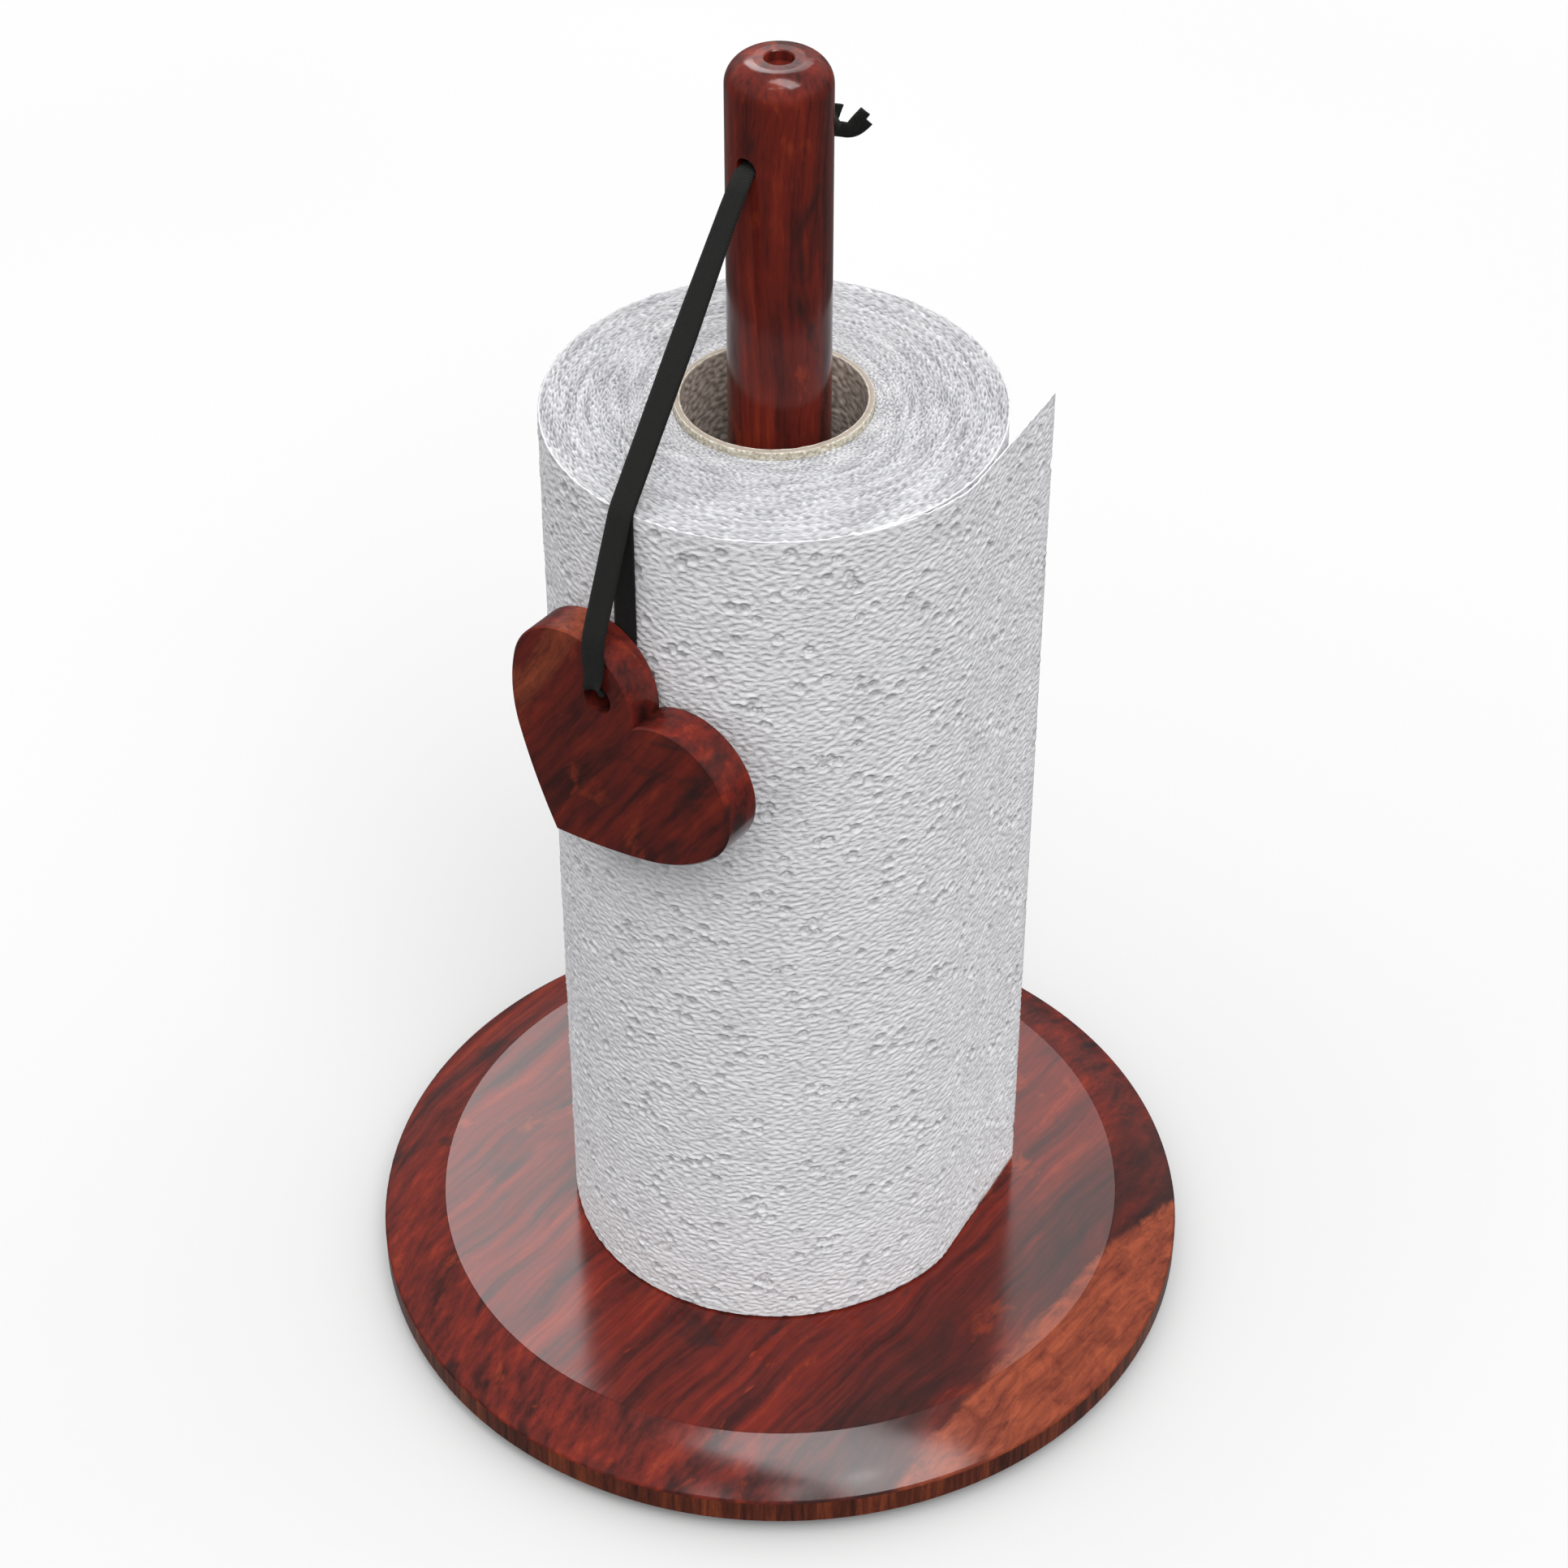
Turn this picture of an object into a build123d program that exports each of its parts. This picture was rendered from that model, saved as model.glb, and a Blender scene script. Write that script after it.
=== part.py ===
"""Wooden paper towel holder: a turned base, a post, a loaded kitchen roll, and a heart that hangs
on a doubled ribbon and presses the roll so that it doesn't unwind.

Millimetres, +Z up. The origin is on the floor, under the middle of the base, on the post's axis.
Seen from the front, +X is to the right and +Y is away.
"""

from build123d import *
import math
import os

# Feet and base
foot_height = 4.0
foot_radius = 8.0
foot_circle = 74.0
foot_toe = 0.7
foot_draft = 0.2
base_radius = 100.0
base_side_height = 6.9
base_thickness = 14.0
base_flat_radius = 84.7
base_crown = 0.35
base_edge_round = 1.0
base_edge_chamfer = 0.5
flat_step = 0.3

# Post
post_radius = 11.1
post_height = 329.7
post_edge_radius = 5.8
post_socket_depth = 4.0
top_recess_radius = 3.0
top_recess_depth = 2.2
recess_chamfer = 0.25
cross_hole_radius = 2.45
cross_hole_height = 309.4

# Fixing screw, up through the base into the post
screw_radius = 2.4
screw_length = 45.0
screw_head_radius = 4.8
screw_head_height = 3.0
screw_play = 0.3
washer_radius = 7.0
washer_thickness = 1.2
counterbore_radius = 8.5
counterbore_depth = 5.4

# Foot screws
foot_screw_radius = 1.6
foot_screw_length = 9.0
foot_screw_head_radius = 3.1
foot_screw_head_height = 1.3
foot_pocket_radius = 3.6
foot_pocket_depth = 2.3

# Kitchen roll
roll_offset_x = -1.16
roll_offset_y = 1.41
roll_radius = 50.3
roll_height = 233.0
roll_edge_round = 1.2
core_outer_radius = 21.5
core_wall = 1.6
core_proud = 1.6
lift_off_base = 0.05

# Loose end of the outer sheet: two arcs and a straight run that ends in the air
sheet_thickness = 0.3
sheet_leaves_at = -80.0
sheet_first_radius = 56.0
sheet_first_turn = 35.0
sheet_second_radius = 20.0
sheet_second_turn = 16.6
sheet_straight = 37.6
sheet_edge_gap = 0.6
sheet_lift = 0.02

# Ribbon, doubled, from the post's cross hole over the roll's edge to the heart
ribbon_width = 6.0
ribbon_thickness = 0.4
ply_pitch = 0.45
ribbon_clearance = 0.32
hang_azimuth = 37.6
mouth_width = 4.2
mouth_stand_off = 0.5
mouth_drop = 0.4
back_ply_rise = 0.25
front_ply_rise = 0.4
fold_radius = 0.9
hinge_gap = 1.5
strand_clearance = 0.3
strand_kink_height = 220.5
strand_kink_radius = 6.0
bight_width = 3.2
bight_above_eye = 2.0
strand_below_bight = 0.5

# Knot behind the post and the ribbon's two cut ends
knot_radius = 3.5
knot_lump_radius = 3.0
knot_tall = 1.4
knot_height = 308.6
knot_wrap_thickness = 2.4
knot_wrap_turn = 35.0
tail_width = 4.2
tail_root = 4.15
tail_swing = 8.0
upper_tail_height = 306.9
upper_tail_turn = 20.0
upper_tail_reach = 6.2
lower_tail_height = 305.8
lower_tail_turn = 0.0
lower_tail_reach = 6.4
tail_pitch = 0.8

# Heart
heart_thickness = 9.4
heart_gap = 1.1
heart_tilt = 29.9
heart_length = 45.6
cleft_heading = 64.0
lobe_radius = 16.5
lobe_turn = 170.0
shoulder_radius = 39.4
shoulder_turn = 29.8
heart_edge_round = 0.4
heart_tip_along = -13.4
heart_tip_height = 161.65
heart_hole_radius = 3.6
heart_hole_height = 204.65

# Every height above is measured from the underside of the base, which stands on the feet
floor_to_base = foot_height


def unit(azimuth):
    """The level direction that points away from the post, azimuth degrees left of the front."""
    a = math.radians(azimuth)
    return Vector(-math.sin(a), -math.cos(a), 0)


outward = unit(hang_azimuth)
across = Vector(-outward.Y, outward.X, 0)
roll_axis = Vector(roll_offset_x, roll_offset_y, 0)
base_top = floor_to_base + base_thickness
roll_bottom = base_top + lift_off_base
roll_top = roll_bottom + roll_height
ribbon_line = roll_axis.dot(across)
hole_height = floor_to_base + cross_hole_height
heart_back = roll_radius + heart_gap
heart_front = heart_back + heart_thickness
eye_height = floor_to_base + heart_hole_height
kink_height = floor_to_base + strand_kink_height
strand_out = heart_front + strand_clearance + ribbon_thickness / 2
bight_height = eye_height + bight_above_eye
edge_rise = ribbon_clearance + ribbon_thickness / 2


def spin(points):
    """A solid of revolution about the Z axis from its half outline of (radius, height) points."""
    outline = Polyline(*[(r, 0, z) for r, z in points], close=True)
    return revolve(make_face(outline), Axis.Z)


on_floor = (Align.CENTER, Align.CENTER, Align.MIN)


def rod(radius, low, high, at=(0, 0)):
    """An upright cylinder between two heights."""
    return Pos(at[0], at[1], low) * Cylinder(radius, high - low, align=on_floor)


def foot_places():
    """Where the feet stand: front left, front right, rear right, rear left."""
    angles = [math.radians(a) for a in (225, 315, 45, 135)]
    return [(foot_circle * math.cos(a), foot_circle * math.sin(a)) for a in angles]


def rims(solid, radius):
    """The circular edges of one radius, lowest first."""
    circles = solid.edges().filter_by(GeomType.CIRCLE)
    return circles.filter_by(lambda e: abs(e.radius - radius) < 1e-3).sort_by(Axis.Z)


def base_disc():
    """The turned disc: an upright side, a shallow convex bevel and a flat top with a fine step."""
    low, side, top = floor_to_base, floor_to_base + base_side_height, base_top
    middle = (base_radius + base_flat_radius + base_crown) / 2
    bevel_middle = (middle, 0, (side + top) / 2 + base_crown)
    outline = [
        Line((0, 0, low), (base_radius, 0, low)),
        Line((base_radius, 0, low), (base_radius, 0, side)),
        ThreePointArc((base_radius, 0, side), bevel_middle, (base_flat_radius, 0, top - flat_step)),
        Line((base_flat_radius, 0, top - flat_step), (base_flat_radius - flat_step, 0, top)),
        Line((base_flat_radius - flat_step, 0, top), (0, 0, top)),
        Line((0, 0, top), (0, 0, low)),
    ]
    disc = revolve(make_face(outline), Axis.Z)
    disc = fillet(rims(disc, base_radius)[-1], base_edge_round)
    disc = chamfer(rims(disc, base_radius)[0], base_edge_chamfer)
    socket = rod(post_radius, top - post_socket_depth, top + 1)
    screw_way = rod(screw_radius + screw_play, low - 1, top)
    counterbore = rod(counterbore_radius, low - 1, low + counterbore_depth)
    disc = disc - socket - screw_way - counterbore
    for place in foot_places():
        disc -= rod(foot_screw_radius, low - 1, foot_pocket_depth + foot_screw_length, place)
    return disc


def post():
    """The round post with its domed top, shallow top recess and the ribbon's cross hole."""
    low, high = base_top - post_socket_depth, floor_to_base + post_height
    body = rod(post_radius, low, high)
    body = fillet(body.edges().sort_by(Axis.Z)[-1], post_edge_radius)
    body -= rod(top_recess_radius, high - top_recess_depth, high + 1)
    body = chamfer(rims(body, top_recess_radius)[-1], recess_chamfer)
    hole_line = Plane(origin=(0, 0, hole_height), z_dir=outward)
    body -= hole_line * Cylinder(cross_hole_radius, 4 * post_radius)
    body -= rod(screw_radius, low - 1, fixing_screw_low() + screw_length)
    return body


def fixing_screw_low():
    """The underside of the fixing screw's head."""
    return floor_to_base + counterbore_depth - washer_thickness


def fixing_washer():
    """The flat washer between the fixing screw's head and the base."""
    top = floor_to_base + counterbore_depth
    bore = rod(screw_radius + screw_play, top - 2 * washer_thickness, top + 1)
    return rod(washer_radius, top - washer_thickness, top) - bore


def cross_slot(width, depth, floor):
    """The cross recess in a screw head, cut upwards from the height floor."""
    slot = Box(width * 4, width, depth, align=on_floor)
    return Pos(0, 0, floor) * (slot + Rot(0, 0, 90) * slot)


def wood_screw(shank, length, head, head_height, under_head):
    """A pan head wood screw that points up: its head's top face is at the height under_head."""
    tip = under_head + length
    taper = shank * 2.2
    outline = [
        (0, under_head - head_height),
        (head * 0.7, under_head - head_height),
        (head, under_head - head_height * 0.45),
        (head, under_head),
        (shank, under_head),
        (shank, tip - taper),
        (0, tip),
    ]
    recess = cross_slot(shank * 0.5, head_height * 0.55, under_head - head_height - 0.01)
    return spin(outline) - recess


def post_screw():
    return wood_screw(screw_radius, screw_length, screw_head_radius, screw_head_height, fixing_screw_low())


def rubber_foot(x, y):
    """A round foot with a pocket for its screw's head."""
    outline = [
        (0, 0),
        (foot_radius - foot_toe, 0),
        (foot_radius - foot_draft, foot_toe),
        (foot_radius, foot_height),
        (0, foot_height),
    ]
    foot = spin(outline)
    foot -= rod(foot_pocket_radius, -1, foot_pocket_depth)
    foot -= rod(foot_screw_radius, -1, foot_height + 1)
    return Pos(x, y, 0) * foot


def foot_screws():
    """The four alike foot screws."""
    screw = wood_screw(foot_screw_radius, foot_screw_length, foot_screw_head_radius,
                       foot_screw_head_height, foot_pocket_depth)
    return Compound(children=[Pos(x, y, 0) * screw for x, y in foot_places()])


def cardboard_core():
    """The tube inside the roll, a little proud of the paper."""
    top = roll_top + core_proud
    tube = rod(core_outer_radius, roll_bottom, top)
    tube -= rod(core_outer_radius - core_wall, roll_bottom - 1, top + 1)
    return Pos(roll_axis) * tube


def paper_roll():
    """The wound paper."""
    roll = rod(roll_radius, roll_bottom, roll_top)
    roll = fillet(roll.edges().sort_by(Axis.Z)[-1], roll_edge_round)
    roll -= rod(core_outer_radius, roll_bottom - 1, roll_top + 1)
    return Pos(roll_axis) * roll


def loose_sheet():
    """The free end of the outer sheet, which leaves the roll on the right."""
    a = math.radians(sheet_leaves_at)
    off_roll = Vector(math.cos(a), math.sin(a), 0)
    along = Vector(-math.sin(a), math.cos(a), 0)
    start = off_roll * (roll_radius + sheet_lift)
    first = JernArc(start, along, sheet_first_radius, sheet_first_turn)
    second = JernArc(first @ 1, first % 1, sheet_second_radius, sheet_second_turn)
    run = Line(second @ 1, (second @ 1) + (second % 1) * sheet_straight)
    inner = Wire([first, second, run])
    right = Vector((run % 1).Y, -(run % 1).X, 0) * sheet_thickness
    outer_radii = [r + sheet_thickness for r in (sheet_first_radius, sheet_second_radius)]
    start_out = start + off_roll * sheet_thickness
    first_out = JernArc(start_out, along, outer_radii[0], sheet_first_turn)
    second_out = JernArc(first_out @ 1, first_out % 1, outer_radii[1], sheet_second_turn)
    run_out = Line(second_out @ 1, (run @ 1) + right)
    caps = [Line(run @ 1, run_out @ 1), Line(first @ 0, first_out @ 0)]
    face = make_face([*inner.edges(), first_out, second_out, run_out, *caps])
    low, high = roll_bottom + sheet_edge_gap, roll_top
    return Pos(roll_axis.X, roll_axis.Y, low) * extrude(face, high - low, dir=(0, 0, 1))


def hang_point(out, height, along=0.0):
    """A point of the hanging ribbon's plane, out mm from the roll's axis."""
    return roll_axis + outward * out + across * along + Vector(0, 0, height)


def strip(points, width=None, radii=None, name="strip"):
    """A flat ribbon along level-sided runs joined by tangent arcs; its width lies along across."""
    width = width or ribbon_width
    if radii:
        path = FilletPolyline(*points, radius=radii)
    else:
        path = Polyline(*points)
    start = Plane(origin=path @ 0, x_dir=across, z_dir=path % 0)
    solid = sweep(start * Rectangle(width, ribbon_thickness), path=path)
    share = solid.volume / (width * ribbon_thickness * path.length)
    print(f"{name}: length {path.length:.1f}, radii {radii or 'none'}, volume share {share:.4f}")
    return solid


mouth_point = outward * (post_radius + mouth_stand_off) + Vector(0, 0, hole_height - mouth_drop)
fold_back = hang_point(roll_radius + edge_rise, roll_top + back_ply_rise)
fold_front = hang_point(roll_radius + edge_rise + ply_pitch, roll_top + front_ply_rise)
fold_middle = (fold_back + fold_front) * 0.5
run_direction = (fold_back - mouth_point).normalized()
run_normal = run_direction.cross(across).normalized()
upper_length = (fold_back - mouth_point).length
upper_end = mouth_point + run_direction * (upper_length - hinge_gap)
front_down = (hang_point(strand_out, kink_height) - fold_front).normalized()


def ribbon_upper(level):
    """One ply of the straight run from the post down to the roll's edge, level 0 under level 1."""
    lift = run_normal * (level * ply_pitch)
    start = mouth_point + run_direction * hinge_gap + lift
    return strip([start, upper_end + lift], name=f"upper ply {level}")


def ribbon_fold():
    """Both plies where they bend over the roll's top edge."""
    back_low = fold_back - Vector(0, 0, hinge_gap)
    front_low = fold_front + front_down * hinge_gap
    front_high = upper_end + run_normal * ply_pitch
    back = strip([upper_end, fold_back, back_low], radii=[fold_radius], name="fold, back ply")
    front = strip([front_high, fold_front, front_low], radii=[fold_radius], name="fold, front ply")
    return Compound(children=[back, front])


def ribbon_front_strand():
    """The ply that goes over the heart's top and down its face to the hole."""
    top = fold_front + front_down * hinge_gap
    kink = hang_point(strand_out, kink_height)
    foot = hang_point(strand_out, bight_height - strand_below_bight)
    return strip([top, kink, foot], radii=[strand_kink_radius], name="front strand")


def ribbon_back_strand():
    """The ply that lies on the roll, behind the heart."""
    out = roll_radius + edge_rise
    top = hang_point(out, fold_back.Z - hinge_gap)
    foot = hang_point(out, bight_height - strand_below_bight)
    return strip([top, foot], name="back strand")


def ribbon_bight():
    """The ribbon's turn through the heart's hole, from strand to strand."""
    low = roll_radius + edge_rise + ribbon_thickness / 2
    high = strand_out - ribbon_thickness / 2
    bar = Box(bight_width, ribbon_thickness, high - low, align=on_floor)
    return Plane(origin=hang_point(low, bight_height), x_dir=across, z_dir=outward) * bar


def ribbon_in_post():
    """Both plies where they lie together in the post's cross hole."""
    bar = Box(mouth_width, 2 * ribbon_thickness, 2 * post_radius)
    return Plane(origin=(0, 0, hole_height), x_dir=across, z_dir=outward) * bar


def ribbon_mouth():
    """Both plies where they leave the hole and turn down."""
    corner = mouth_point + run_normal * (ply_pitch / 2)
    start = corner - outward * (corner.dot(outward) - post_radius)
    end = corner + run_direction * hinge_gap
    path = Polyline(start, corner, end)
    first = Plane(origin=start, x_dir=across, z_dir=outward)
    section = first * Rectangle(mouth_width, 2 * ribbon_thickness)
    return sweep(section, path=path, transition=Transition.RIGHT)


def knot_centre():
    """The middle of the knot, which rests on the post where the cross hole comes out."""
    height = floor_to_base + knot_height
    return outward * -(post_radius + knot_radius) + Vector(0, 0, height)


def ribbon_knot():
    """The tight overhand knot: a lump with one turn of ribbon round it."""
    lump = scale(Sphere(knot_lump_radius), by=(1, 1, knot_tall))
    wrap = Torus(knot_radius - knot_wrap_thickness / 2, knot_wrap_thickness / 2)
    return Pos(knot_centre()) * (lump + Rot(knot_wrap_turn, 0, -hang_azimuth) * wrap)


def ribbon_tail(height, turn, reach, behind):
    """A cut end of the ribbon, which points right from the knot, turned up by turn degrees."""
    middle = knot_centre()
    start = Pos(middle.X + tail_root, middle.Y + behind, floor_to_base + height)
    align = (Align.MIN, Align.CENTER, Align.CENTER)
    tail = Box(reach, ribbon_thickness, tail_width, align=align)
    return start * Rot(0, 0, tail_swing) * Rot(0, -turn, 0) * tail


def heart_face():
    """The heart's outline with its tip at the origin and its cleft straight above."""
    heading = Vector(1, 0).rotate(Axis.Z, cleft_heading)
    lobe = JernArc((0, heart_length), heading, lobe_radius, -lobe_turn)
    shoulder = JernArc(lobe @ 1, lobe % 1, shoulder_radius, -shoulder_turn)
    side = TangentArc([shoulder @ 1, Vector(0, 0)], tangent=shoulder % 1)
    half = Wire([lobe, shoulder, side])
    other = mirror(half, about=Plane.YZ)
    return make_face([*half.edges(), *other.edges()])


def heart():
    """The pressing heart, hung by a hole in its raised lobe, tip down to the left."""
    tilt = math.radians(heart_tilt)
    tip_height = floor_to_base + heart_tip_height
    origin = hang_point(heart_back, tip_height, heart_tip_along)
    sideways = across * math.cos(tilt) - Vector(0, 0, math.sin(tilt))
    lean = Plane(origin=origin, x_dir=sideways, z_dir=outward)
    eye = lean.to_local_coords(hang_point(heart_back, eye_height))
    plate = extrude(heart_face(), heart_thickness)
    plate -= Pos(eye.X, eye.Y, 0) * Cylinder(heart_hole_radius, 3 * heart_thickness)
    faces = plate.faces().sort_by(Axis.Z)
    outline = faces[0].outer_wire().edges() + faces[-1].outer_wire().edges()
    return lean * chamfer(outline, heart_edge_round)


def write(solid, name):
    solid.label = name
    export_step(solid, f"parts/{name}.step")


os.makedirs("parts", exist_ok=True)
write(base_disc(), "base_disc")
write(post(), "post")
write(post_screw(), "post_screw")
write(fixing_washer(), "washer")
for place, side in zip(foot_places(), ("front_left", "front_right", "rear_right", "rear_left")):
    write(rubber_foot(*place), f"foot_{side}")
write(foot_screws(), "foot_screws")
write(cardboard_core(), "cardboard_core")
write(paper_roll(), "paper_roll")
write(loose_sheet(), "loose_sheet")
write(ribbon_in_post(), "ribbon_in_post")
write(ribbon_mouth(), "ribbon_mouth")
write(ribbon_upper(0), "ribbon_upper_back_ply")
write(ribbon_upper(1), "ribbon_upper_front_ply")
write(ribbon_fold(), "ribbon_fold")
write(ribbon_front_strand(), "ribbon_front_strand")
write(ribbon_back_strand(), "ribbon_back_strand")
write(ribbon_bight(), "ribbon_bight")
write(ribbon_knot(), "ribbon_knot")
write(ribbon_tail(upper_tail_height, upper_tail_turn, upper_tail_reach, tail_pitch), "ribbon_tail_upper")
write(ribbon_tail(lower_tail_height, lower_tail_turn, lower_tail_reach, 0), "ribbon_tail_lower")
write(heart(), "heart")

print("fold middle", fold_middle, "mouth", mouth_point)
print("across", across, "outward", outward)
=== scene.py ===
"""Looks of the wooden paper towel holder: camera, ribbon, paper, knot, materials and studio."""

import math

import bpy
import numpy as np
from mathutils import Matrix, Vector


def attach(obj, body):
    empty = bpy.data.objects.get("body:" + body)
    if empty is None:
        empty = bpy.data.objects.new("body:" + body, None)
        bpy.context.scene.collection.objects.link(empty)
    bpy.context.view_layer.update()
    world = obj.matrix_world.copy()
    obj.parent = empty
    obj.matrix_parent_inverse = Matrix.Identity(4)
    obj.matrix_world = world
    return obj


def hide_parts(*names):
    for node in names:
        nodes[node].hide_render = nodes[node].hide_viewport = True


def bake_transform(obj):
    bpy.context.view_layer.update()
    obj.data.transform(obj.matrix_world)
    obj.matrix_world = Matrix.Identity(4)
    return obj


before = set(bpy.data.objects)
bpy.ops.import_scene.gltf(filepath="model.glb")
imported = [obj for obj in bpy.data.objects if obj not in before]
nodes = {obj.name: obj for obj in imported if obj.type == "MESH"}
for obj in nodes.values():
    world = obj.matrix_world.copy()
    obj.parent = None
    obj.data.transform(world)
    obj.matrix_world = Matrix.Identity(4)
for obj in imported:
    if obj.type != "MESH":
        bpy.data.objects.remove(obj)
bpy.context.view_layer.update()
MM = 0.001

# ---------------------------------------------------------------- camera
CAMERA_PLACE = (0.000954, -0.65124, 0.69239)
CAMERA_TILT = 50.009
CAMERA_LENS = 84.69

camera_data = bpy.data.cameras.new("camera")
camera_data.lens = CAMERA_LENS
camera_data.sensor_width = 36
camera_data.clip_start = 0.01
camera = bpy.data.objects.new("camera", camera_data)
camera.location = CAMERA_PLACE
camera.rotation_euler = (math.radians(CAMERA_TILT), 0, 0)
bpy.context.scene.collection.objects.link(camera)
bpy.context.scene.camera = camera

# ---------------------------------------------------------------- sizes, in mm as in the CAD source
ROLL_AXIS = np.array([-1.16, 1.41, 0.0])
ROLL_RADIUS = 50.3
ROLL_BOTTOM = 18.05
ROLL_TOP = 251.05
CORE_RADIUS = 21.5
CORE_WALL = 1.6
CORE_TOP = 252.65
POST_RADIUS = 11.1
HOLE_HEIGHT = 313.4
HANG_AZIMUTH = math.radians(37.6)
OUTWARD = np.array([-math.sin(HANG_AZIMUTH), -math.cos(HANG_AZIMUTH), 0.0])
ACROSS = np.array([-OUTWARD[1], OUTWARD[0], 0.0])
UP = np.array([0.0, 0.0, 1.0])
RIBBON_WIDTH = 6.0
RIBBON_THICKNESS = 0.42
PLY_PITCH = 0.45
MOUTH_WIDTH = 4.6
MOUTH_WIDENING = 36.0
HEART_PINCH = 1.8
STRAIGHT_TO_FOLD = 36.0
rng = np.random.default_rng(7)


def hang(out, height, along=0.0):
    """A point of the hanging ribbon's plane, out mm from the roll's axis."""
    return ROLL_AXIS + OUTWARD * out + ACROSS * along + UP * height


def unit(v):
    return v / np.linalg.norm(v)


def new_mesh(name, points, faces, uv=None, smooth=True):
    """A mesh object from points in metres; uv is one pair for each point."""
    mesh = bpy.data.meshes.new(name)
    mesh.from_pydata([tuple(p) for p in points], [], [tuple(int(i) for i in f) for f in faces])
    if uv is not None:
        layer = mesh.uv_layers.new(name="UVMap")
        index = np.empty(len(mesh.loops), dtype=np.int32)
        mesh.loops.foreach_get("vertex_index", index)
        layer.data.foreach_set("uv", np.asarray(uv, dtype=np.float32)[index].ravel())
    mesh.polygons.foreach_set("use_smooth", [smooth] * len(mesh.polygons))
    mesh.update()
    piece = bpy.data.objects.new(name, mesh)
    bpy.context.scene.collection.objects.link(piece)
    return piece


def grid_faces(rows, columns, first=0, wrap_columns=False, flip=False):
    """Quads of a grid of points stored row by row."""
    r = np.arange(rows - 1)[:, None]
    span = columns if wrap_columns else columns - 1
    c = np.arange(span)[None, :]
    nxt = (c + 1) % columns
    a = r * columns + c
    b = r * columns + nxt
    d = (r + 1) * columns + c
    e = (r + 1) * columns + nxt
    quads = np.stack([a, b, e, d] if not flip else [a, d, e, b], axis=-1)
    return quads.reshape(-1, 4) + first


# ---------------------------------------------------------------- ribbon
def smooth_line(name, route):
    """Points along a smooth NURBS line that has the route's points as its control points."""
    curve = bpy.data.curves.new(name, "CURVE")
    curve.dimensions = "3D"
    curve.resolution_u = 16
    spline = curve.splines.new("NURBS")
    spline.points.add(len(route) - 1)
    for point, place in zip(spline.points, route):
        point.co = (*(np.asarray(place) * MM), 1)
    spline.order_u = 3
    spline.use_endpoint_u = True
    line = bpy.data.objects.new(name, curve)
    bpy.context.scene.collection.objects.link(line)
    bpy.context.view_layer.update()
    mesh = bpy.data.meshes.new_from_object(line)
    points = np.array([v.co[:] for v in mesh.vertices]) / MM
    bpy.data.objects.remove(line)
    bpy.data.curves.remove(curve)
    bpy.data.meshes.remove(mesh)
    return points


def strap(name, line, width, cup, thickness=RIBBON_THICKNESS, sideways=ACROSS, lean=None):
    """A flat ribbon along a line. width and cup are functions of the distance from its start, in mm."""
    step = np.linalg.norm(np.diff(line, axis=0), axis=1)
    keep = np.concatenate([[True], step > 1e-4])
    line = line[keep]
    reach = np.concatenate([[0], np.cumsum(np.linalg.norm(np.diff(line, axis=0), axis=1))])
    tangent = np.gradient(line, reach, axis=0)
    tangent /= np.linalg.norm(tangent, axis=1)[:, None]
    side = np.tile(sideways, (len(line), 1)) if lean is None else lean(reach)
    side = side - (side * tangent).sum(1)[:, None] * tangent
    side /= np.linalg.norm(side, axis=1)[:, None]
    normal = np.cross(tangent, side)
    across = np.linspace(-1, 1, 11)
    edge = np.sqrt(np.clip(1 - across ** 6, 0, 1))
    upper = [(x, +0.5 * e) for x, e in zip(across[:-1], edge[:-1])]
    lower = [(x, -0.5 * e) for x, e in zip(across[:0:-1], edge[:0:-1])]
    ring = np.array(upper + lower)
    points, uv = [], []
    for i, place in enumerate(line):
        half = width(reach[i]) / 2
        bow = cup(reach[i])
        for x, h in ring:
            points.append(place + side[i] * x * half + normal[i] * (h * thickness - bow * x * x))
            uv.append((reach[i], x * half))
    columns = len(ring)
    faces = [tuple(f) for f in grid_faces(len(line), columns, wrap_columns=True, flip=True)]
    faces.append(tuple(range(columns)))
    faces.append(tuple(range((len(line) - 1) * columns, len(line) * columns))[::-1])
    return new_mesh(name, np.array(points) * MM, faces, uv)


def ease(x, low, high):
    t = min(max((x - low) / (high - low), 0.0), 1.0)
    return t * t * (3 - 2 * t)


mouth = OUTWARD * (POST_RADIUS + 0.5) + UP * (HOLE_HEIGHT - 0.4)
fold_back = hang(50.82, 251.30)
fold_front = hang(51.27, 251.45)
run = unit(fold_back - mouth)
run_normal = unit(np.cross(run, ACROSS))
kink = hang(61.4, 224.4)
front_down = unit(kink - fold_front)
back_route = [
    mouth,
    fold_back - run * STRAIGHT_TO_FOLD,
    fold_back - run * 2.2,
    fold_back,
    fold_back - UP * 2.2,
    hang(50.84, 232.0),
    hang(50.84, 214.5),
    hang(50.85, 211.3),
    hang(52.0, 210.75),
    hang(56.4, 210.75),
]
front_route = [
    mouth + run_normal * PLY_PITCH,
    fold_front - run * STRAIGHT_TO_FOLD,
    fold_front - run * 2.6,
    fold_front,
    fold_front + front_down * 2.6,
    kink - front_down * 4.0,
    kink,
    hang(61.6, 219.5),
    hang(61.75, 213.4),
    hang(61.7, 211.6),
    hang(60.3, 211.2),
    hang(56.2, 211.15),
]
back_line = smooth_line("back_route", back_route)
front_line = smooth_line("front_route", front_route)
back_reach = float(np.linalg.norm(np.diff(back_line, axis=0), axis=1).sum())
front_reach = float(np.linalg.norm(np.diff(front_line, axis=0), axis=1).sum())


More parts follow.
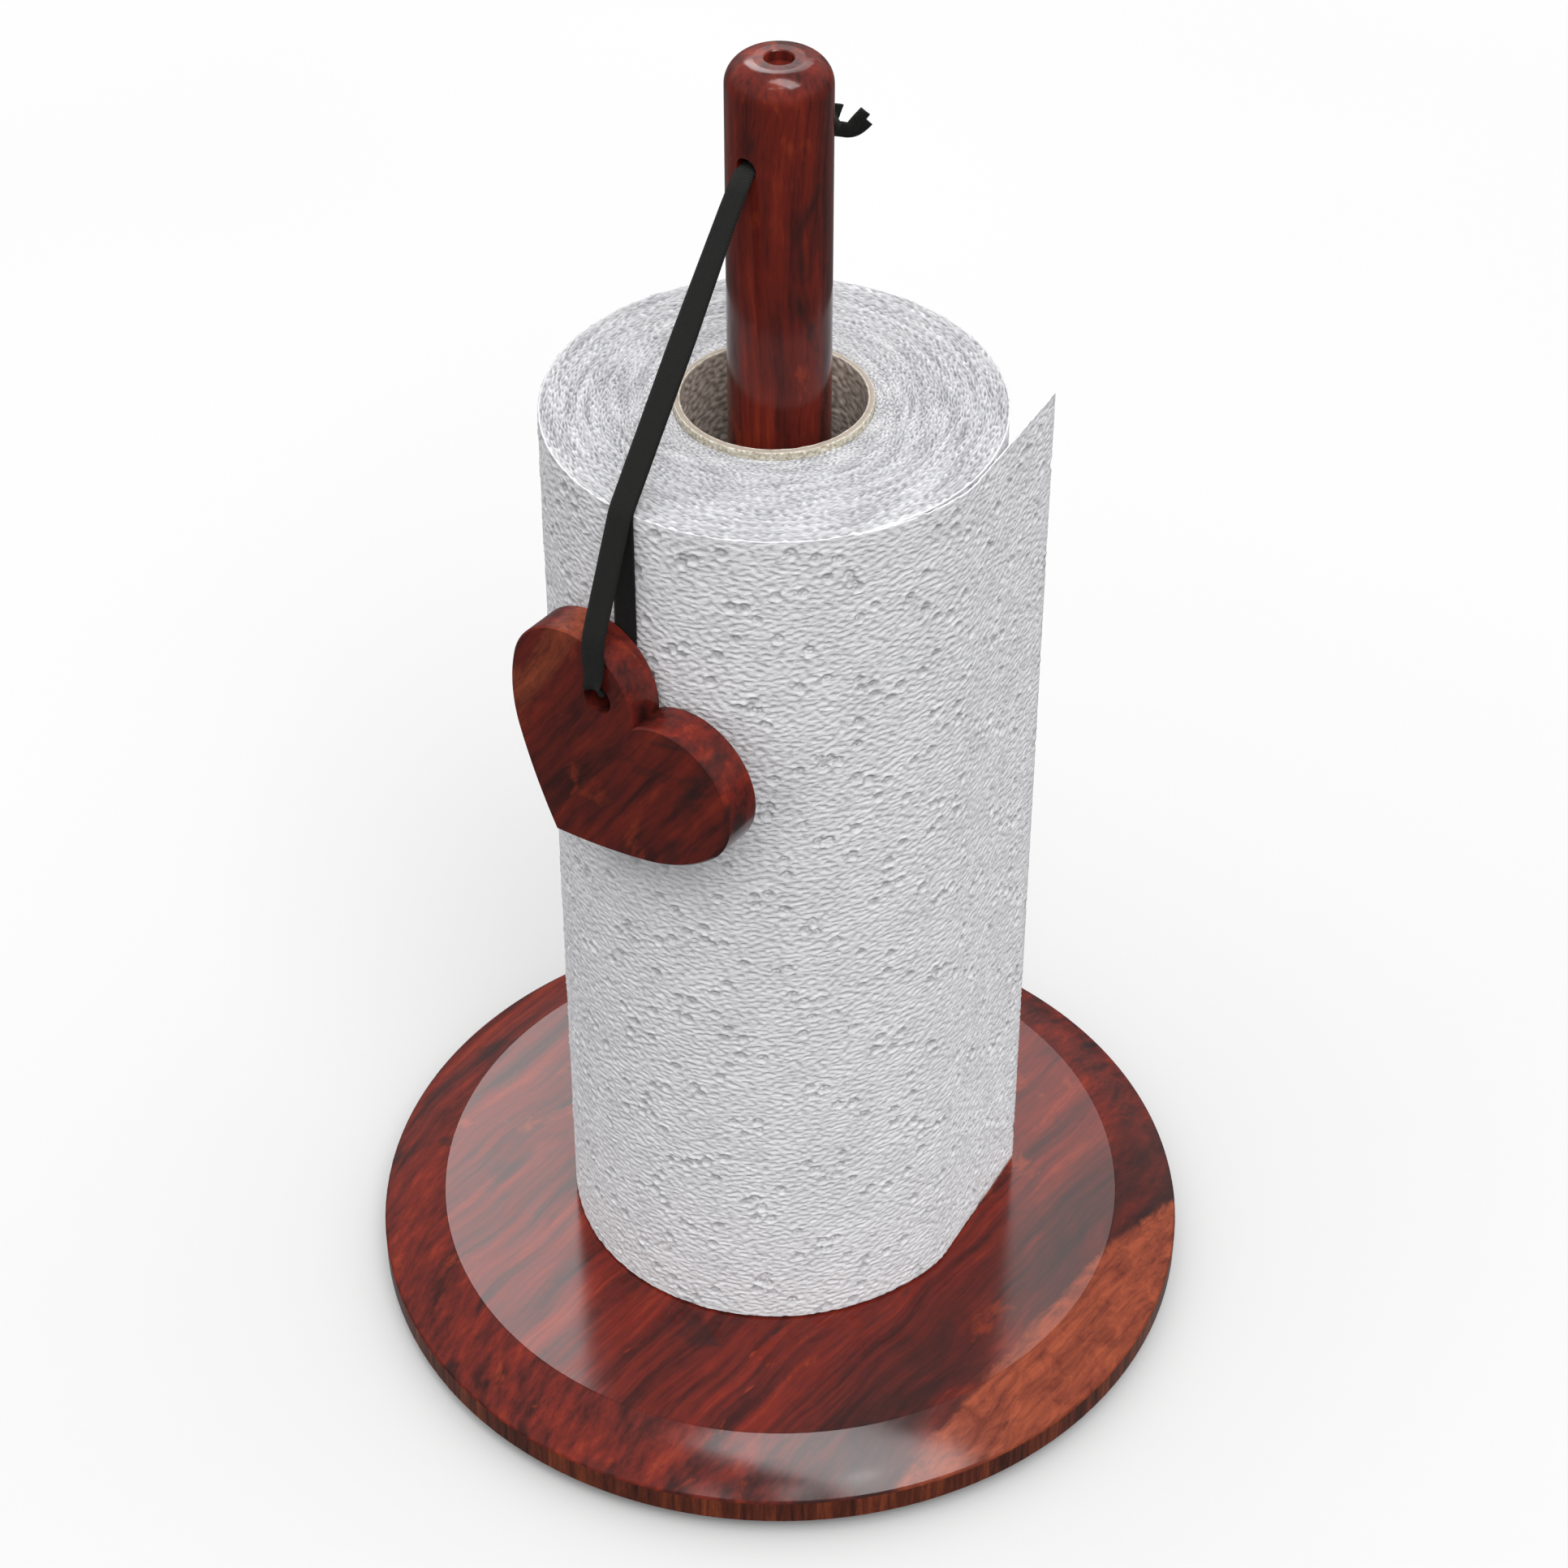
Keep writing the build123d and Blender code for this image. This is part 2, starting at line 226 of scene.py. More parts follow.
def ribbon_width(reach):
    """The ribbon is drawn together at the post's hole and at the heart's hole."""
    def width(s):
        out_of_post = min(s / MOUTH_WIDENING, 1.0)
        before_heart = ease(reach - s, 5.0, 13.0)
        return MOUTH_WIDTH + (RIBBON_WIDTH - MOUTH_WIDTH) * out_of_post - HEART_PINCH * (1 - before_heart)
    return width


def ribbon_cup(reach, at_hole, fade):
    """The ribbon is bowed across its width where it leaves the post and inside the heart's hole."""
    def cup(s):
        return 0.45 * (1 - ease(s, 0.0, 6.0)) + at_hole * (1 - ease(reach - s, 5.0, fade))
    return cup


ply_back = strap("ribbon_back", back_line, ribbon_width(back_reach), ribbon_cup(back_reach, 0.9, 7.0))
ply_front = strap("ribbon_front", front_line, ribbon_width(front_reach), ribbon_cup(front_reach, -1.1, 9.5))

# the stretch inside the post, out to the mouth where the two plies begin
post_route = [
    -OUTWARD * (POST_RADIUS + 1.5) + UP * (HOLE_HEIGHT - 0.2),
    UP * (HOLE_HEIGHT + 0.1),
    OUTWARD * (POST_RADIUS - 2.0) + UP * (HOLE_HEIGHT + 0.1),
    OUTWARD * (POST_RADIUS - 0.2) + UP * (HOLE_HEIGHT - 0.05),
    mouth + run_normal * PLY_PITCH / 2 + run * 0.3,
]
ribbon_post = strap("ribbon_in_hole", smooth_line("post_route", post_route),
                    lambda s: 4.2 + 0.4 * ease(s, 20.0, 24.0), lambda s: 0.45, thickness=0.86)

# the knot: bands wound over and under a tight core, and two cut ends
KNOT = -OUTWARD * (POST_RADIUS + 3.5) + UP * 312.6


def band(name, radii, tilt_x, tilt_z, width, thickness, offset=(0, 0, 0), bulge=0.18):
    """A closed turn of ribbon round the knot's core."""
    turns = np.linspace(0, 2 * math.pi, 49)[:-1]
    cx, sx = math.cos(tilt_x), math.sin(tilt_x)
    cz, sz = math.cos(tilt_z), math.sin(tilt_z)
    turn_x = np.array([[1, 0, 0], [0, cx, -sx], [0, sx, cx]])
    turn_z = np.array([[cz, -sz, 0], [sz, cz, 0], [0, 0, 1]])
    lean = turn_z @ turn_x
    ring = [(-1, 0.0), (-0.8, 0.45), (0, 0.5), (0.8, 0.45), (1, 0.0), (0.8, -0.45), (0, -0.5), (-0.8, -0.45)]
    points, uv = [], []
    for a in turns:
        r = 1 + bulge * 0.5 * math.sin(2 * a + 0.7)
        middle = np.array([radii[0] * math.cos(a) * r, radii[1] * math.sin(a) * r, 0.35 * math.sin(a * 2)])
        out = unit(np.array([math.cos(a) / radii[0], math.sin(a) / radii[1], 0]))
        for x, h in ring:
            p = middle + UP * x * width / 2 + out * (h * thickness - 0.35 * x * x)
            points.append(lean @ p + np.array(offset) + KNOT)
            uv.append((a * radii[0], x * width / 2))
    faces = []
    n, m = len(turns), len(ring)
    for i in range(n):
        row, next_row = i * m, ((i + 1) % n) * m
        for j in range(m):
            k = (j + 1) % m
            faces.append((row + j, row + k, next_row + k, next_row + j))
    return new_mesh(name, np.array(points) * MM, faces, uv)


def lump(name, middle, radii):
    """A rounded core of gathered ribbon with shallow creases."""
    rows, columns = 17, 28
    across_x, across_y, up = radii
    points = []
    for i in range(rows):
        p = math.pi * (i + 0.35) / (rows - 0.3)
        for j in range(columns):
            a = 2 * math.pi * j / columns
            r = 1 + 0.07 * math.sin(3 * a + 5 * p) + 0.05 * math.sin(7 * p - 2 * a)
            points.append(middle + r * np.array([across_x * math.sin(p) * math.cos(a),
                                                 across_y * math.sin(p) * math.sin(a), up * math.cos(p)]))
    faces = [tuple(f) for f in grid_faces(rows, columns, wrap_columns=True)]
    faces.append(tuple(range(columns)))
    faces.append(tuple(range((rows - 1) * columns, rows * columns))[::-1])
    uv = [(p[0] + p[1], p[2]) for p in points]
    return new_mesh(name, np.array(points) * MM, faces, uv)


knot_core = lump("knot_core", KNOT, (2.5, 2.3, 3.4))
knot_turns = [
    band("knot_turn_a", (2.75, 2.5), 0.55, 0.3, 2.9, 0.5),
    band("knot_turn_b", (2.9, 2.6), -0.8, 1.2, 2.7, 0.5, (0.1, 0, 0.5)),
    band("knot_turn_c", (3.3, 2.3), 1.35, -0.5, 2.4, 0.5, (0.1, 0.1, -0.2)),
]


def tail_side(turn_start, turn_end, reach):
    """The tail's width stays near upright and leans first one way, then the other, in degrees."""
    def side(s):
        t = np.clip(s / reach, 0, 1)[:, None]
        a = np.radians(turn_start + (turn_end - turn_start) * t)
        return np.concatenate([np.zeros_like(a), np.sin(a), np.cos(a)], axis=1)
    return side


def tail(name, route, start_width, end_width, turn):
    """A cut end of the ribbon that narrows along its route."""
    line = smooth_line(name + "_route", route)
    reach = float(np.linalg.norm(np.diff(line, axis=0), axis=1).sum())
    return strap(name, line, lambda s: start_width + (end_width - start_width) * s / reach,
                 lambda s: 0.25, thickness=0.5, lean=tail_side(-20, turn, reach))


tail_upper_route = [(10.2, 12.3, 310.7), (12.2, 13.2, 310.1), (14.0, 13.6, 309.6), (15.0, 13.8, 310.0),
                    (15.6, 13.9, 311.0), (17.6, 14.1, 313.6)]
tail_lower_route = [(10.0, 12.8, 310.0), (12.4, 13.9, 309.2), (14.8, 14.5, 308.4), (16.6, 14.7, 309.3),
                    (18.1, 14.8, 311.0)]
stub_route = [(10.3, 12.4, 310.9), (11.3, 13.0, 312.4), (11.7, 13.2, 314.2), (12.1, 13.3, 315.7)]
stub = strap("ribbon_stub", smooth_line("stub_route", stub_route), lambda s: 1.3 + 0.18 * s, lambda s: 0.1,
             thickness=0.6, sideways=np.array([0.95, 0.3, 0.0]))
upper_end = tail("ribbon_end_a", tail_upper_route, 3.9, 2.4, 10)
lower_end = tail("ribbon_end_b", tail_lower_route, 3.7, 2.6, 10)
knot_parts = [knot_core, *knot_turns, stub, upper_end, lower_end]

for ply in (ply_back, ply_front):
    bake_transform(ply)
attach(ribbon_post, "holder")
for part in knot_parts:
    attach(part, "holder")
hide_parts("ribbon_upper_back_ply", "ribbon_back_strand", "ribbon_bight")
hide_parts("ribbon_upper_front_ply", "ribbon_fold", "ribbon_front_strand")
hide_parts("ribbon_in_post", "ribbon_mouth")
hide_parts("ribbon_knot")
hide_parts("ribbon_tail_upper")
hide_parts("ribbon_tail_lower")


# ---------------------------------------------------------------- paper
def field(rows, columns, row_step, column_step, bands, seed):
    """Band-limited noise on a grid. A band is (weight, row wavelength, column wavelength, spread)."""
    draw = np.random.default_rng(seed)
    spectrum = np.fft.rfft2(draw.standard_normal((rows, columns)))
    fr = np.abs(np.fft.fftfreq(rows, row_step))[:, None]
    fc = np.abs(np.fft.rfftfreq(columns, column_step))[None, :]
    total = np.zeros((rows, columns))
    for weight, row_wave, column_wave, spread in bands:
        radius = np.sqrt((fr * row_wave) ** 2 + (fc * column_wave) ** 2)
        part = np.fft.irfft2(spectrum * np.exp(-((radius - 1) / spread) ** 2), s=(rows, columns))
        total += weight * part / part.std()
    return total


SHEET_STEP = 0.42
SHEET_ROW = 0.34
SHEET_LOW = ROLL_BOTTOM + 0.6
SHEET_HIGH = ROLL_TOP - 0.35
LEAVE = math.radians(-80.0)
WOUND_TURN = math.radians(375.0)
WOUND_GAIN = 0.4
RUNS = ((56.0, 35.0), (20.0, 16.6))
STRAIGHT = 37.6
SHEET_THICKNESS = 0.24
CRINKLE_DEPTH = 0.26
DIAMOND_WIDE = 30.0
DIAMOND_TALL = 25.0
DOT_GAP = 4.7
DOT_REACH = 2.2


def sheet_line():
    """The sheet's plan: once round the roll and out along the free end, as points with outward normals."""
    wound_steps = round(ROLL_RADIUS * WOUND_TURN / SHEET_STEP)
    turns = [WOUND_TURN * i / wound_steps for i in range(wound_steps)]
    places, normals = [], []
    for t in turns:
        a = LEAVE - WOUND_TURN + t
        r = ROLL_RADIUS - WOUND_GAIN * (1 - t / WOUND_TURN)
        out = np.array([math.cos(a), math.sin(a)])
        places.append(out * r)
        normals.append(out)
    place = np.array([math.cos(LEAVE), math.sin(LEAVE)]) * ROLL_RADIUS
    heading = LEAVE + math.pi / 2
    for radius, turn in RUNS:
        total = math.radians(turn)
        steps = round(radius * total / SHEET_STEP)
        for i in range(steps):
            places.append(place)
            normals.append(np.array([math.sin(heading), -math.cos(heading)]))
            chord = 2 * radius * math.sin(total / steps / 2)
            middle = heading + total / steps / 2
            place = place + chord * np.array([math.cos(middle), math.sin(middle)])
            heading += total / steps
    steps = round(STRAIGHT / SHEET_STEP)
    for i in range(steps + 1):
        places.append(place + i * SHEET_STEP * np.array([math.cos(heading), math.sin(heading)]))
        normals.append(np.array([math.sin(heading), -math.cos(heading)]))
    return np.array(places), np.array(normals), len(turns)


def ridged(noise):
    """Rounded puffs with sharper creases between them, about zero."""
    shaped = 1 - 2 * np.abs(np.tanh(noise * 0.7)) ** 0.85
    shaped = 0.55 * np.tanh(noise * 1.1) + 0.45 * shaped
    return np.clip(shaped - shaped.mean(), -1.6, 1.1)


def emboss(s, z):
    """Pressed dots along the sides of a lattice of diamonds: depth and a mask, on the grid z by s."""
    draw = np.random.default_rng(21)
    dots = []
    low_s, high_s = s.min() - DIAMOND_WIDE, s.max() + DIAMOND_WIDE
    for i in range(int((high_s - low_s) / DIAMOND_WIDE) + 2):
        for j in range(-1, int((z.max() - z.min()) / DIAMOND_TALL) + 2):
            for sign in (1, -1):
                low_z = z.min() + j * DIAMOND_TALL + (0 if sign > 0 else DIAMOND_TALL)
                start = np.array([low_s + i * DIAMOND_WIDE, low_z])
                side = np.array([DIAMOND_WIDE, sign * DIAMOND_TALL])
                count = int(np.linalg.norm(side) / DOT_GAP)
                for k in range(count):
                    if draw.random() < 0.25:
                        continue
                    wave = 2.2 * math.sin(k * 1.3 + i * 2.1 + j)
                    stray = draw.normal(0, 0.8, 2)
                    dots.append(start + side * (k + 0.5) / count + stray + np.array([wave, -wave]))
    depth = np.zeros((len(z), len(s)))
    mask = np.zeros_like(depth)
    for x, y in dots:
        a, b = np.searchsorted(s, [x - DOT_REACH, x + DOT_REACH])
        c, d = np.searchsorted(z, [y - DOT_REACH, y + DOT_REACH])
        if b <= a or d <= c:
            continue
        size = draw.uniform(0.95, 1.2)
        r = np.hypot(s[None, a:b] - x, z[c:d, None] - y) / size
        pit = np.clip(1.25 - r, 0, 0.55) / 0.55
        bump = np.exp(-(r / 0.42) ** 2)
        rim = np.exp(-((r - 1.5) / 0.28) ** 2)
        depth[c:d, a:b] += -0.50 * pit + 0.30 * bump + 0.16 * rim
        mask[c:d, a:b] = np.maximum(mask[c:d, a:b], np.exp(-(np.clip(r - 0.85, 0, None) / 0.40) ** 2))
    return depth, mask


def set_attribute(piece, name, values):
    layer = piece.data.attributes.new(name, "FLOAT", "POINT")
    layer.data.foreach_set("value", np.asarray(values, dtype=np.float32))


def paper_sheet():
    """The last turn of paper and its free end as one embossed, crinkled sheet."""
    plan, outward, wound = sheet_line()
    s = np.concatenate([[0], np.cumsum(np.linalg.norm(np.diff(plan, axis=0), axis=1))])
    rows = round((SHEET_HIGH - SHEET_LOW) / SHEET_ROW) + 1
    z = np.linspace(SHEET_LOW, SHEET_HIGH, rows)
    crinkle = field(rows, len(s), SHEET_ROW, SHEET_STEP,
                    [(0.80, 1.28, 2.6, 0.45), (0.28, 2.0, 3.4, 0.4), (0.25, 1.2, 1.6, 0.4)], 3)
    crinkle = ridged(crinkle)
    relief, mask = emboss(s, z)
    height = CRINKLE_DEPTH * crinkle * (1 - 0.95 * mask) + relief
    end = np.clip((s[-1] - s) / 3.0, 0, 1)[None, :]
    height = height * (0.35 + 0.65 * end)
    rim_fade = np.clip(np.minimum(SHEET_HIGH - z, z - SHEET_LOW) / 2.5, 0, 1)
    height = height * (0.3 + 0.7 * rim_fade)[:, None]
    top_rag = 0.12 * np.interp(s, np.linspace(0, s[-1], 500), rng.standard_normal(500))
    px = ROLL_AXIS[0] + plan[:, 0][None, :] + outward[:, 0][None, :] * height
    py = ROLL_AXIS[1] + plan[:, 1][None, :] + outward[:, 1][None, :] * height
    pz = np.repeat(z[:, None], len(s), axis=1)
    pz[-1, :] += top_rag
    pz[0, :] += 0.5 * top_rag[::-1]
    front = np.stack([px, py, pz], axis=-1)
    first = wound + 18
    thicken = np.clip((s[first:] - s[first]) / 4.0, 0, 1)[None, :]
    back_height = height[:, first:] - SHEET_THICKNESS * thicken
    bx = ROLL_AXIS[0] + plan[first:, 0][None, :] + outward[first:, 0][None, :] * back_height
    by = ROLL_AXIS[1] + plan[first:, 1][None, :] + outward[first:, 1][None, :] * back_height
    back = np.stack([bx, by, pz[:, first:]], axis=-1)
    columns, back_columns = len(s), len(s) - first
    faces = grid_faces(rows, columns)
    index = np.empty((rows, back_columns), dtype=int)
    count = rows * columns
    index[:, 0] = np.arange(rows) * columns + first
    index[:, 1:] = count + np.arange(rows * (back_columns - 1)).reshape(rows, back_columns - 1)
    quads = np.stack([index[:-1, :-1], index[1:, :-1], index[1:, 1:], index[:-1, 1:]], axis=-1).reshape(-1, 4)
    front_index = np.arange(rows * columns).reshape(rows, columns)[:, first:]
    end_rim = np.stack([front_index[:-1, -1], index[:-1, -1], index[1:, -1], front_index[1:, -1]], axis=-1)
    top_rim = np.stack([front_index[-1, :-1], front_index[-1, 1:], index[-1, 1:], index[-1, :-1]], axis=-1)
    low_rim = np.stack([front_index[0, :-1], index[0, :-1], index[0, 1:], front_index[0, 1:]], axis=-1)
    faces = np.concatenate([faces, quads, end_rim, top_rim[1:], low_rim[1:]])
    triangles = [(front_index[-1, 0], front_index[-1, 1], index[-1, 1]),
                 (front_index[0, 0], index[0, 1], front_index[0, 1])]
    points = np.concatenate([front.reshape(-1, 3), back[:, 1:].reshape(-1, 3)])
    piece = fast_mesh("paper_sheet", points * MM, faces, triangles)
    # low is painted shade for the crinkles' valleys, stored beside the dots' mask for the paper's colour.
    low = np.clip(-crinkle, 0, 1) * 0.5
    set_attribute(piece, "pressed", np.concatenate([mask.ravel(), mask[:, first + 1:].ravel()]))
    set_attribute(piece, "painted_hollow_shade", np.concatenate([low.ravel(), low[:, first + 1:].ravel()]))
    flat = (float(s[-1]) * MM, (SHEET_HIGH - SHEET_LOW) * MM)
    return piece, flat


def fast_mesh(name, points, quads, triangles=()):
    """A large mesh built straight from arrays."""
    mesh = bpy.data.meshes.new(name)
    quads = np.asarray(quads, dtype=np.int32)
    triangles = np.asarray(triangles, dtype=np.int32).reshape(-1, 3)
    corners = np.concatenate([quads.ravel(), triangles.ravel()])
    starts = np.concatenate([np.arange(len(quads)) * 4, len(quads) * 4 + np.arange(len(triangles)) * 3])
    totals = np.concatenate([np.full(len(quads), 4), np.full(len(triangles), 3)])
    mesh.vertices.add(len(points))
    mesh.vertices.foreach_set("co", np.asarray(points, dtype=np.float32).ravel())
    mesh.loops.add(len(corners))
    mesh.loops.foreach_set("vertex_index", corners)
    mesh.polygons.add(len(totals))
    mesh.polygons.foreach_set("loop_start", starts.astype(np.int32))
    mesh.polygons.foreach_set("loop_total", totals.astype(np.int32))
    mesh.polygons.foreach_set("use_smooth", np.ones(len(totals), dtype=bool))
    mesh.update(calc_edges=True)
    mesh.validate()
    piece = bpy.data.objects.new(name, mesh)
    bpy.context.scene.collection.objects.link(piece)
    return piece


def paper_body():
    """The wound roll under the last turn: fine edges of the turns on its top, plain rings below."""
    columns = 960
    radii = np.arange(CORE_RADIUS + 0.02, 49.8, 0.17)
    rows = len(radii)
    noise = field(rows, columns, 0.17, 0.32,
                  [(0.8, 0.52, 3.4, 0.5), (0.4, 0.75, 2.2, 0.5), (0.5, 2.2, 30.0, 0.6)], 5)
    near_core = np.clip((radii - CORE_RADIUS) / 9.0, 0.35, 1.0)[:, None]
    lift = 0.15 * noise * near_core
    a = np.linspace(0, 2 * math.pi, columns, endpoint=False)
    rings, shades = [], []

    def ring(r, z, shade):
        x = ROLL_AXIS[0] + r * np.cos(a)
        y = ROLL_AXIS[1] + r * np.sin(a)
        rings.append(np.stack([x, y, np.broadcast_to(z, x.shape)], axis=-1))
        shades.append(np.broadcast_to(shade, x.shape))

    inner_wall = CORE_RADIUS + 0.02
    ring(inner_wall, ROLL_BOTTOM + 0.2, 0)
    ring(inner_wall, ROLL_TOP - 2.0, 0)
    # Painted shade: the top's rings are darkened, more where the turns' edges sit lower; the rim rings below
    # are darkened less.
    for i, r in enumerate(radii):
        ring(r, ROLL_TOP - 0.3 + lift[i], np.clip(1.10 - noise[i] * 0.24, 0, 1.6))
    soft = field(6, columns, 1.0, 0.36, [(1, 3.0, 3.0, 0.6)], 6)
    for i, (r, drop) in enumerate(((50.02, 0.36), (50.20, 0.50), (50.10, 0.85), (49.5, 1.6))):
        ring(r, ROLL_TOP - drop + 0.03 * soft[i], 0.3)
    ring(49.45, ROLL_BOTTOM + 1.0, 0)
    ring(49.0, ROLL_BOTTOM + 0.15, 0)
    ring(40.0, ROLL_BOTTOM + 0.15, 0)
    ring(inner_wall, ROLL_BOTTOM + 0.2, 0)
    points = np.concatenate(rings)
    faces = grid_faces(len(rings), columns, wrap_columns=True, flip=True)
    piece = fast_mesh("paper_body", points * MM, faces)
    set_attribute(piece, "painted_hollow_shade", np.concatenate(shades))
    set_attribute(piece, "pressed", np.zeros(len(points)))
    return piece


def core_tube():
    """The cardboard tube: a rough inner wall, a pale stepped rim and a nearly smooth outside."""
    columns = 330
    a = np.linspace(0, 2 * math.pi, columns, endpoint=False)
    inner = CORE_RADIUS - CORE_WALL
    seen_from = ROLL_TOP - 55
    heights = np.concatenate([np.arange(ROLL_BOTTOM + 0.1, seen_from, 6.0),
                              np.arange(seen_from, CORE_TOP - 0.3, 0.5)])
    rough = field(len(heights), columns, 0.5, 0.38, [(0.8, 1.7, 3.2, 0.5), (0.5, 1.2, 1.8, 0.5)], 11)
    rings, kind, rim = [], [], []

    def ring(r, z, k, c):
        rings.append(np.stack([ROLL_AXIS[0] + r * np.cos(a), ROLL_AXIS[1] + r * np.sin(a),
                               np.broadcast_to(z, a.shape)], axis=-1))
        kind.append(np.broadcast_to(k, a.shape))
        rim.append(np.broadcast_to(c, a.shape))

    ring(inner + 0.1, ROLL_BOTTOM + 0.02, 0, 0)
    for i, z in enumerate(heights):
        ring(inner + 0.10 * rough[i] + 0.1, z, np.clip(0.5 + 0.30 * rough[i], 0, 1), 0)
    edge = field(8, columns, 1.0, 0.52, [(1, 4.0, 6.0, 0.6)], 13)
    rim_steps = ((0.12, 0.12, 0.3, 0.25), (0.28, 0.0, 0.5, 0.75), (0.42, 0.0, 0.4, 0.6),
                 (0.55, 0.14, 0.0, 0.0), (0.72, 0.02, 0.2, 0.05), (1.12, 0.02, 0.2, 0.05),
                 (1.22, 0.12, 0.0, 0.0), (1.40, 0.05, 0.5, 0.8), (1.58, 0.25, 0.5, 1.0))
    for k, (out, drop, tone, pale) in enumerate(rim_steps):
        ring(inner + out, CORE_TOP - drop + 0.03 * edge[k % 8], tone, pale)
    for k in range(5):
        ring(CORE_RADIUS - 0.02 + 0.03 * edge[k], CORE_TOP - 0.5 - 0.35 * k, 0.5, 1)
    ring(CORE_RADIUS - 0.02, ROLL_BOTTOM + 0.02, 0, 0.6)
    ring(inner + 0.1, ROLL_BOTTOM + 0.02, 0, 0)
    faces = grid_faces(len(rings), columns, wrap_columns=True, flip=True)
    piece = fast_mesh("core_tube", np.concatenate(rings) * MM, faces)
    set_attribute(piece, "rough_wall", np.concatenate(kind))
    set_attribute(piece, "rim", np.concatenate(rim))
    return piece


sheet_piece, sheet_flat = paper_sheet()
body_piece = paper_body()
core_piece = core_tube()
for piece in (sheet_piece, body_piece, core_piece):
    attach(piece, "roll")
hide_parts("loose_sheet")
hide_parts("paper_roll")
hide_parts("cardboard_core")


# ---------------------------------------------------------------- materials
class Tree:
    """Short calls for building one material's nodes."""

    def __init__(self, name):
        self.material = bpy.data.materials.new(name)
        self.material.use_nodes = True
        self.nodes = self.material.node_tree.nodes
        self.links = self.material.node_tree.links
        self.nodes.clear()
        self.shader = self.nodes.new("ShaderNodeBsdfPrincipled")
        self.out = self.nodes.new("ShaderNodeOutputMaterial")
        self.links.new(self.shader.outputs[0], self.out.inputs["Surface"])

    def put(self, socket, value):
        if hasattr(value, "node"):
            self.links.new(value, socket)
        elif value is not None:
            socket.default_value = value

    def node(self, kind, inputs=None, **settings):
        made = self.nodes.new(kind)
        for key, value in settings.items():
            setattr(made, key, value)
        for key, value in (inputs or {}).items():
            self.put(made.inputs[key], value)
        return made

    def math(self, operation, a, b=None, clamp=False):
        made = self.node("ShaderNodeMath", {0: a, 1: b}, operation=operation)
        made.use_clamp = clamp
        return made.outputs[0]

    def dot(self, vector, direction):
        made = self.node("ShaderNodeVectorMath", {0: vector, 1: tuple(direction)}, operation="DOT_PRODUCT")
        return made.outputs["Value"]

    def combine(self, x, y, z):
        return self.node("ShaderNodeCombineXYZ", {0: x, 1: y, 2: z}).outputs[0]

    def noise(self, vector, scale, detail=2.0, roughness=0.5, distortion=0.0):
        made = self.node("ShaderNodeTexNoise", {"Vector": vector, "Scale": scale, "Detail": detail,
                                                "Roughness": roughness, "Distortion": distortion})
        return made.outputs["Fac"]

    def ramp(self, value, stops):
        made = self.node("ShaderNodeValToRGB", {0: value})
        elements = made.color_ramp.elements
        while len(elements) < len(stops):
            elements.new(0.5)
        for element, (place, colour) in zip(elements, stops):
            element.position = place
            element.color = (*colour, 1)
        return made.outputs[0]

    def mix(self, factor, a, b):
        made = self.node("ShaderNodeMix", data_type="RGBA")
        self.put(made.inputs[0], factor)
        for socket, value in ((made.inputs[6], a), (made.inputs[7], b)):
            if isinstance(value, tuple):
                value = (*value, 1)
            self.put(socket, value)
        return made.outputs[2]

    def range(self, value, low, high, to_low=0.0, to_high=1.0, smooth=False):
        made = self.node("ShaderNodeMapRange", {0: value, 1: low, 2: high, 3: to_low, 4: to_high})
        if smooth:
            made.interpolation_type = "SMOOTHSTEP"
        return made.outputs[0]

    def bump(self, height, strength, distance):
        made = self.node("ShaderNodeBump", {"Height": height, "Strength": strength, "Distance": distance})
        self.links.new(made.outputs[0], self.shader.inputs["Normal"])

    def base(self, colour):
        self.put(self.shader.inputs["Base Color"], colour)

    def surface(self, **values):
        """Set the shader's own sockets, with an underscore for each space in a socket's name."""
        for key, value in values.items():
            self.put(self.shader.inputs[key.replace("_", " ")], value)

    def sway(self, value, noise, amount):
        """value moved to and fro by noise, which is centred on one half."""
        return self.math("ADD", value, self.math("MULTIPLY", self.math("SUBTRACT", noise, 0.5), amount))

    def weigh(self, a, share_a, b, share_b):
        """The weighted sum of two values."""
        return self.math("ADD", self.math("MULTIPLY", a, share_a), self.math("MULTIPLY", b, share_b))


